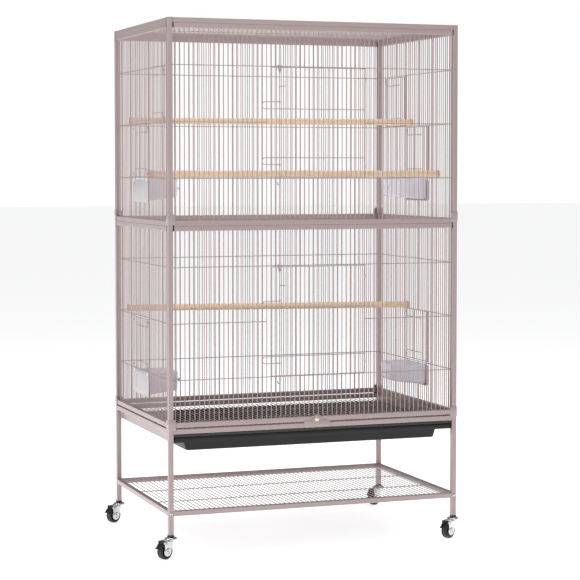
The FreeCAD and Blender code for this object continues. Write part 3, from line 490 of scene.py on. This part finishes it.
# cup: the bowl hangs behind a plate, whose ribs reach the outer face of the cup's box
def makeCup(tier, side):
    node = f"{tier}_{side}_cup"
    words = tier + side.title()
    low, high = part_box(node)
    sign = -1 if side == "left" else 1
    faceOuter = low.x if sign < 0 else high.x
    plateIn = faceOuter - sign * cupLook["sheet"]
    base = tierBase[tier]
    middleY = (low.y + high.y) / 2
    bowl = cupBowl(sign, base) + [plateIn - sign * cupLook["depth"] / 2, middleY, 0]
    finishPiece(joinRings(f"{words}CupBowl", [bowl]), made["cupPlastic"], node, "cup_plastic", node)

    plateHalfY = (high.y - low.y) / 2
    plateLow, plateHigh = base + cupLook["plateLow"], base + cupLook["plateHigh"]
    middle = (plateLow + plateHigh) / 2
    outline = roundedOutline(plateHalfY, (plateHigh - plateLow) / 2, cupLook["faceCorner"], 6)
    plate = plateRings(outline, 0, cupLook["plate"], 0.0005)
    parts = [stood(plate, (2, 0, 1)) * [-sign, 1, 1] + [faceOuter - sign * cupLook["back"], middleY, middle]]
    rib = plateRings(roundedOutline(0.0006, cupLook["ribTall"], 0.0005, 3), 0, 0.0010, 0.0003, 3)
    for across in cupLook["ribs"]:
        parts.append(stood(rib, (2, 0, 1)) * [-sign, 1, 1] + [faceOuter, middleY + across, middle])
    finishPiece(joinRings(f"{words}CupFace", parts), made["facePlastic"], node, "cup_plastic", node)

    # clips: two small hooks on the plate's upper edge, and the peg on the inner end
    innerX = plateIn - sign * cupLook["depth"]
    pegLevel = base + (cupLook["bottom"] + cupLook["mouth"]) / 2 + cupLook["pegLift"]
    clips = [turned(cupLook["peg"], (innerX, middleY, pegLevel), (-sign, 0, 0), 20)]
    top = base + cupLook["top"]
    tall = (top - plateHigh) / 2 + 0.0015  # half the hook's height, with a lap on the plate
    hook = plateRings(roundedOutline(0.0034, tall, 0.0016, 4), 0, 0.0042, 0.0006, 4)
    for across in cupLook["clips"]:
        clips.append(stood(hook, (2, 0, 1)) * [-sign, 1, 1] + [faceOuter, middleY + across, top - tall])
    finishPiece(joinRings(f"{words}CupClips", clips), made["clipPlastic"], node, "cup_plastic", node)


for tier in tierBase:
    for side in ("left", "right"):
        makeCup(tier, side)
print("feeder cups made")


trayLook = {"flange": 0.026, "draft": 0.012, "setback": 0.020, "lip": 0.014}


# tray: rounded rectangles from the pan's underside out to the rim, down and up the lip, and back in
def makeTray():
    low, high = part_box("tray")
    halfX = (high.x - low.x) / 2
    middleX = (high.x + low.x) / 2
    front, back = low.y, high.y
    rim, floor = high.z, low.z
    panX = halfX - trayLook["flange"]
    draft = trayLook["draft"]
    lip = rim - trayLook["lip"]
    panFront = front + trayLook["setback"]
    foot = panX - draft
    section = [  # half width, front, back, level, corner radius
        (foot - 0.004, panFront + 0.006, back - 0.012, floor, 0.006),
        (foot - 0.0008, panFront + 0.0030, back - 0.0088, floor + 0.0008, 0.010),
        (foot + 0.0006, panFront + 0.0018, back - 0.008, floor + 0.004, 0.012),
        (panX - 0.0030, panFront + 0.0004, back - 0.0064, rim - 0.0052, 0.012),
        (panX - 0.0004, panFront - 0.0004, back - 0.0060, rim - 0.0026, 0.011),
        (panX + 0.004, panFront - 0.0040, back - 0.003, rim - 0.0018, 0.008),
        (halfX - 0.0018, front + 0.0014, back - 0.0012, rim - 0.0018, 0.003),
        (halfX - 0.0018, front + 0.0014, back - 0.0012, lip + 0.0003, 0.003),
        (halfX - 0.0012, front + 0.0008, back - 0.0008, lip, 0.003),
        (halfX - 0.0002, front + 0.0001, back - 0.0002, lip + 0.0006, 0.004),
        (halfX, front, back, rim - 0.0022, 0.004),
        (halfX - 0.0006, front + 0.0006, back - 0.0006, rim - 0.0006, 0.004),
        (halfX - 0.0022, front + 0.002, back - 0.0022, rim, 0.004),
        (panX + 0.0006, panFront + 0.0006, back - 0.0072, rim, 0.010),
        (panX - 0.0018, panFront + 0.0022, back - 0.0088, rim - 0.0016, 0.012),
        (foot - 0.0012, panFront + 0.0040, back - 0.0110, floor + 0.006, 0.012),
        (foot - 0.0040, panFront + 0.0066, back - 0.0130, floor + 0.0024, 0.010),
        (foot - 0.0080, panFront + 0.0100, back - 0.0160, floor + 0.0020, 0.006),
    ]
    rings = []
    for half, near, far, level, corner in section:
        ring = roundedOutline(half, (far - near) / 2, corner, 6) + [middleX, (far + near) / 2]
        rings.append(np.concatenate([ring, np.full((len(ring), 1), level)], 1))
    tray = joinRings("litterTray", [np.array(rings)])
    finishPiece(tray, made["traySheet"], "tray", "tray_sheet", "tray")


makeTray()
print("tray made")


casterLook = {"trail": 0.021, "axle": 0.0205, "turn": 208.6, "cheekIn": 0.0095, "sheet": 0.002,
              "discRadius": 0.012, "shoeRadius": 0.0237, "shoeHalf": 0.0088, "shoeLift": 0.0015,
              "ridges": (7, 9, 11), "pinX": 0.0318, "pinZ": 0.044}


# cheek: rather more than half a disc about the axle, run up into an arm below the crown
def cheekOutline():
    centre = np.array([casterLook["trail"], casterLook["axle"]])
    angle = np.radians(np.linspace(168, 392, 26))
    disc = centre + casterLook["discRadius"] * np.stack([np.cos(angle), np.sin(angle)], -1)
    arm = np.array([[0.0305, 0.0322], [0.0318, 0.0392], [0.0340, 0.0412], [0.0346, 0.0440], [0.0330, 0.0468],
                    [0.0300, 0.0474], [0.0180, 0.0475], [0.0046, 0.0475], [0.0032, 0.0462], [0.0036, 0.0400],
                    [0.0060, 0.0310]])
    return np.concatenate([disc, arm])


# caster: drawn with its trail along x about the swivel, then turned round it and carried to its post
def makeCaster(end, side):
    name = f"{end}_{side}_caster"
    words = end + side.title()
    legX = postHalf[0] * (-1 if side == "left" else 1)
    legY = postHalf[1] * (-1 if end == "front" else 1)
    place = cageMiddle + [legX, legY, 0]
    turn = casterLook["turn"]
    trail, axle = casterLook["trail"], casterLook["axle"]
    crown = [(0.0031, 0.0467), (0.0120, 0.0467), (0.0152, 0.0472), (0.0160, 0.0484), (0.0159, 0.0500),
             (0.0146, 0.0516), (0.0118, 0.0529), (0.0080, 0.0536), (0.0031, 0.0537)]
    race = turned(crown, (0, 0, 0), (0, 0, 1), 40)
    solids = []
    inner = casterLook["cheekIn"]
    outside = inner + casterLook["sheet"]
    for sign in (-1, 1):
        plate = plateRings(cheekOutline(), inner, outside, 0.0006, 3)
        solids.append(stood(plate, (0, 2, 1)) * [1, sign, 1])
        boss = [(0.0098, -0.0002), (0.0098, 0.0004), (0.0090, 0.0009), (0.0060, 0.0013), (0.0046, 0.0014),
                (0.0042, 0.0009), (0.0030, 0.0009), (0.0028, 0.0019), (0.0022, 0.0023), (0.0003, 0.0024)]
        solids.append(turned(boss, (trail, sign * outside, axle), (0, sign, 0), 28))
        pin = [(0.0015, -0.004), (0.0015, 0.0), (0.0024, 0.0), (0.0024, 0.0006), (0.0016, 0.0011),
               (0.0002, 0.0012)]
        solids.append(turned(pin, (casterLook["pinX"], sign * outside, casterLook["pinZ"]), (0, sign, 0), 14))
    yoke = plateRings(roundedOutline(0.0105, 0.0112, 0.003, 5), 0.0464, 0.0477, 0.0004, 3)
    solids.append(yoke + [0.0055, 0, 0])
    solids.append(turned([(0.0025, -0.0096), (0.0025, 0.0096)], (trail, 0, axle), (0, 1, 0), 16))
    fork = joinRings(f"{words}CasterFork", [carried(rings, place, turn) for rings in solids],
                     [carried(race, place, turn)])
    finishPiece(fork, made["brightSteel"], name, "plated_steel", f"{name}_fork")

    half = [(0.0026, 0.0083), (0.0062, 0.0083), (0.0070, 0.0078), (0.0076, 0.0066), (0.0140, 0.0062),
            (0.0152, 0.0070), (0.0160, 0.0082), (0.0174, 0.0085), (0.0190, 0.0080), (0.0200, 0.0066),
            (0.0205, 0.0042), (0.0205, 0.0014), (0.0202, 0.0011)]
    profile = half + [(radius, -height) for radius, height in reversed(half)]
    wheel = turned(profile, (trail, 0, axle), (0, 1, 0), 48)
    wheel = joinRings(f"{words}CasterWheel", [], [carried(wheel, place, turn)])
    finishPiece(wheel, made["wheelPlastic"], f"{name}_wheel", "wheel_plastic", f"{name}_wheel")

    # shoe: a strip on an arc over the wheel, and a lip that turns outwards for the toe
    angle = np.radians(np.linspace(99, 27, 20))
    arc = np.array([trail, axle]) + casterLook["shoeRadius"] * np.stack([np.cos(angle), np.sin(angle)], -1)
    toe = arc[-1] + np.array([[0.0012, -0.0005], [0.0030, -0.0006], [0.0050, -0.0004], [0.0066, -0.0001]])
    path = np.concatenate([arc, toe])
    shoeHalf = casterLook["shoeHalf"]
    wide = np.full(len(path), shoeHalf)
    wide[0], wide[1], wide[-1], wide[-2] = 0.0076, 0.0084, 0.0064, 0.0080
    strip = stood(stripRings(path, wide, 0.00145, 0.0009), (0, 2, 1))
    ridges = []
    ridge = plateRings(roundedOutline(0.0006, 0.0070, 0.0005, 3), -0.0004, 0.0006, 0.0003, 3)
    for spot in casterLook["ridges"]:
        lean = math.radians(90) - angle[spot]
        spin = np.array([[math.cos(lean), 0, math.sin(lean)], [0, 1, 0],
                         [-math.sin(lean), 0, math.cos(lean)]])
        reach = casterLook["shoeRadius"] + casterLook["shoeLift"]
        top = np.array([trail, axle]) + reach * np.array([math.cos(angle[spot]), math.sin(angle[spot])])
        ridges.append(ridge @ spin.T + [top[0], 0, top[1]])
    boss = turned([(0.00156, -shoeHalf), (0.0029, -shoeHalf), (0.0029, shoeHalf), (0.00156, shoeHalf)],
                  (casterLook["pinX"], 0, casterLook["pinZ"]), (0, 1, 0), 20)
    pedal = joinRings(f"{words}CasterPedal", [carried(rings, place, turn) for rings in (strip, *ridges)],
                      [carried(boss, place, turn)])
    finishPiece(pedal, made["blackPlastic"], f"{name}_pedal", "black_plastic", f"{name}_pedal")


for end in ("front", "back"):
    for side in ("left", "right"):
        makeCaster(end, side)
print("casters made")


bracketLook = {"height": 0.027, "lap": 0.0192, "sheet": 0.0012, "round": 0.0035, "bend": 0.0014,
               "bases": {"stand": 0.320, "middle": 0.832}}


# bracket: a strip bent round a post's outer corner, its ends rounded off
def makeBrackets(level, base):
    lap, sheet = bracketLook["lap"], bracketLook["sheet"]
    near, corner = cageHalf[0] + sheet / 2, cageHalf[1] + sheet / 2
    bendRadius = bracketLook["bend"]
    spread = np.concatenate([np.linspace(0, bracketLook["round"], 6), np.linspace(0.006, lap - 0.002, 4)])
    parts = []
    for signX in (-1, 1):
        for signY in (-1, 1):
            first = np.stack([near - lap + spread, np.full(len(spread), corner)], -1)
            angle = np.radians(np.linspace(90, 0, 7))
            arc = bendRadius * np.stack([np.cos(angle), np.sin(angle)], -1)
            bend = np.array([near - bendRadius, corner - bendRadius]) + arc
            second = np.stack([np.full(len(spread), near), corner - lap + spread], -1)[::-1]
            path = np.concatenate([first, bend, second]) * [signX, signY]
            shrink = np.ones(len(path)) * bracketLook["height"] / 2
            drop = bracketLook["round"] - np.sqrt(np.maximum(
                0, bracketLook["round"] ** 2 - (bracketLook["round"] - spread[:6]) ** 2))
            shrink[:6] -= drop
            shrink[-6:] -= drop[::-1]
            strip = stripRings(path, shrink, sheet / 2, sheet * 0.35)
            parts.append(strip + cageMiddle + [0, 0, base + bracketLook["height"] / 2])
    piece = joinRings(f"{level}Brackets", parts)
    finishPiece(piece, made["powderCoat"], "cage", "coated_steel", f"{level}_brackets")


for level, base in bracketLook["bases"].items():
    makeBrackets(level, base)

# screw head: a low dome with a dimple, on the brackets' side faces and on the posts beside the shelf
screwLook = {"shelfLevel": 0.11165,
             "head": [(0.0042, 0.0), (0.0042, 0.0005), (0.0037, 0.0008), (0.0030, 0.0009), (0.0028, 0.0014),
                      (0.0022, 0.0017), (0.0014, 0.0018), (0.0011, 0.0011), (0.0002, 0.0010)]}
bracketFace = cageHalf[0] + bracketLook["sheet"]
bracketMiddle = bracketLook["height"] / 2
heads = []
for signX in (-1, 1):
    for signY in (-1, 1):
        for base in bracketLook["bases"].values():
            spot = cageMiddle + [signX * bracketFace, signY * postHalf[1], base + bracketMiddle]
            heads.append(turned(screwLook["head"], spot, (signX, 0, 0), 20))
        spot = cageMiddle + [signX * postHalf[0], signY * cageHalf[1], screwLook["shelfLevel"]]
        heads.append(turned(screwLook["head"], spot, (0, signY, 0), 20))
finishPiece(joinRings("screwHeads", heads), made["brightSteel"], "cage", "plated_steel", "screws")

buttonLook = {"low": 0.3106, "high": 0.3282, "half": 0.035, "corner": 0.004, "pivot": 0.33235,
              "earRadius": 0.0115, "back": 0.26065, "sheet": 0.0015,
              "dome": [(0.0023, -0.0020), (0.0023, 0.0002), (0.0064, 0.0003), (0.0065, 0.0007),
                       (0.0058, 0.0012), (0.0042, 0.0016), (0.0022, 0.0017), (0.0003, 0.0018)]}


# plate: a rounded bar with a round ear on its upper edge, about the rivet
def makeTurnButton():
    halfTall = (buttonLook["high"] - buttonLook["low"]) / 2
    middle = (buttonLook["high"] + buttonLook["low"]) / 2
    bar = roundedOutline(buttonLook["half"], halfTall, buttonLook["corner"], 6) + [0, middle]
    dip = math.asin((buttonLook["pivot"] - buttonLook["high"]) / buttonLook["earRadius"])
    angle = np.linspace(-dip * 0.9, math.pi + dip * 0.9, 22)
    arc = buttonLook["earRadius"] * np.stack([np.cos(angle), np.sin(angle)], -1)
    ear = np.array([0, buttonLook["pivot"]]) + arc
    outline = np.concatenate([bar[:6], ear, bar[6:]])
    face = buttonLook["back"] + buttonLook["sheet"]
    plate = plateRings(outline, buttonLook["back"], face, 0.0005, 4)
    plate = stood(plate, (0, 2, 1)) * [1, -1, 1] + cageMiddle
    piece = joinRings("turnButtonPlate", [plate])
    finishPiece(piece, made["powderCoat"], "turn_button", "coated_steel", "turn_button")
    rivet = turned(buttonLook["dome"], cageMiddle + [0, -face, buttonLook["pivot"]], (0, -1, 0), 28)
    finishPiece(joinRings("turnButtonRivet", [rivet]), made["rivetMetal"], "cage", "rivet_metal",
                "turn_button_rivet")


makeTurnButton()
print("brackets, screws and turn button made")


rodLook = {"x": -0.1016, "plane": 0.26206, "wire": 0.0011, "top": 0.4025, "low": 0.101, "handle": 0.350}


# rod: a hook over the door's head, a long run with a sideways handle, and a curl at the foot
def makeLockRod(tier):
    x, y, base = rodLook["x"], -rodLook["plane"], tierBase[tier]
    top, low, handle = base + rodLook["top"], base + rodLook["low"], base + rodLook["handle"]
    rod = [(x, -postHalf[1], top), (x, y, top), (x, y, low + 0.004), (x - 0.0035, y - 0.002, low - 0.0008),
           (x - 0.0070, y - 0.004, low + 0.0030), (x - 0.0074, y - 0.004, low + 0.0080)]
    grip = [(x, y, handle - 0.006), (x + 0.0006, y, handle), (x + 0.0150, y, handle)]
    fork = [(x - 0.0058, y + 0.0002, top + 0.0004), (x - 0.0048, y, top - 0.0030),
            (x, y - 0.0006, top - 0.0200), (x + 0.0048, y, top - 0.0030),
            (x + 0.0058, y + 0.0002, top + 0.0004)]
    parts = []
    for points, cut in ((rod, 0.0028), (grip, 0.0018), (fork, 0.0014)):
        path = bentPath(np.array(points) + cageMiddle, cut)
        parts.append(wireRings(path, rodLook["wire"]))
    piece = joinRings(f"{tier}LockRod", parts)
    finishPiece(piece, made["powderCoat"], f"{tier}_lock_rod", "coated_steel", f"{tier}_lock_rod")


for tier in tierBase:
    makeLockRod(tier)
print("lock rods made")


cameraLook = {"place": (-1.648, -4.614, 0.975), "down": 2.56, "yaw": 20.01, "lens": 113.8, "shiftY": -0.07,
              "sensor": 36, "near": 0.1, "far": 200}
camera = bpy.data.cameras.new("frontCamera")
camera.sensor_width = cameraLook["sensor"]
camera.lens = cameraLook["lens"]
camera.shift_y = cameraLook["shiftY"]
camera.clip_start, camera.clip_end = cameraLook["near"], cameraLook["far"]
viewer = bpy.data.objects.new("frontCamera", camera)
viewer.location = cameraLook["place"]
viewer.rotation_euler = (math.radians(90 - cameraLook["down"]), 0, -math.radians(cameraLook["yaw"]))
scene.collection.objects.link(viewer)
scene.camera = viewer

floorLook = {"light": (0.93, 0.93, 0.935), "dark": (0.91, 0.91, 0.915), "rough": 0.6, "spread": 0.05,
             "fine": 40.0, "wide": 0.6, "bump": 0.01,
             "set": {"Emission Color": (1, 1, 1, 1), "Emission Strength": 0.68}}
floorHalf = 40
floorPoints = [[-floorHalf, -floorHalf, 0], [floorHalf, -floorHalf, 0], [floorHalf, floorHalf, 0],
               [-floorHalf, floorHalf, 0]]
floor = makeMesh("paleFloor", floorPoints, [[0, 1, 2, 3]])
floor.data.materials.append(makeMaterial("paleFloorFinish", floorLook))

lights = {  # place, aim, width, height, power
    "keySoftbox": ((0.9, -4.4, 2.6), (0, 0, 0.8), 1.8, 2.4, 17),
    "leftSoftbox": ((-3.8, -1.0, 1.6), (0, 0, 0.7), 1.8, 2.6, 60),
    "rightSoftbox": ((3.8, 0.2, 1.6), (0, 0, 0.7), 1.8, 2.6, 24),
    "topSoftbox": ((0.3, 0.2, 3.8), (0, 0, 0.4), 2.6, 2.6, 60),
}
for name, (place, aim, wide, tall, power) in lights.items():
    lamp = bpy.data.lights.new(name, "AREA")
    lamp.shape = "RECTANGLE"
    lamp.size, lamp.size_y, lamp.energy = wide, tall, power
    holder = bpy.data.objects.new(name, lamp)
    way = np.array(aim, float) - place
    way /= np.linalg.norm(way)
    yaw = math.atan2(-way[0], way[1])
    holder.location = place
    holder.rotation_euler = (math.acos(-way[2]), 0, yaw)
    scene.collection.objects.link(holder)

# the camera sees plain white, and everything else is lit by a dimmer, slightly cool ambient
worldLook = {"seen": (1, 1, 1, 1), "seenStrength": 1.0,
             "ambient": (0.98, 0.99, 1.0, 1), "ambientStrength": 0.27}
world = bpy.data.worlds.new("studioWorld")
world.use_nodes = True
scene.world = world
worldNodes, worldLinks = world.node_tree.nodes, world.node_tree.links
seen = worldNodes["Background"]
seen.inputs["Color"].default_value = worldLook["seen"]
seen.inputs["Strength"].default_value = worldLook["seenStrength"]
ambient = worldNodes.new("ShaderNodeBackground")
ambient.inputs["Color"].default_value = worldLook["ambient"]
ambient.inputs["Strength"].default_value = worldLook["ambientStrength"]
rays = worldNodes.new("ShaderNodeLightPath")
both = worldNodes.new("ShaderNodeMixShader")
worldLinks.new(rays.outputs["Is Camera Ray"], both.inputs["Fac"])
worldLinks.new(ambient.outputs[0], both.inputs[1])
worldLinks.new(seen.outputs[0], both.inputs[2])
worldLinks.new(both.outputs[0], worldNodes["World Output"].inputs["Surface"])
scene.view_settings.view_transform = "Standard"
print("camera and light set")
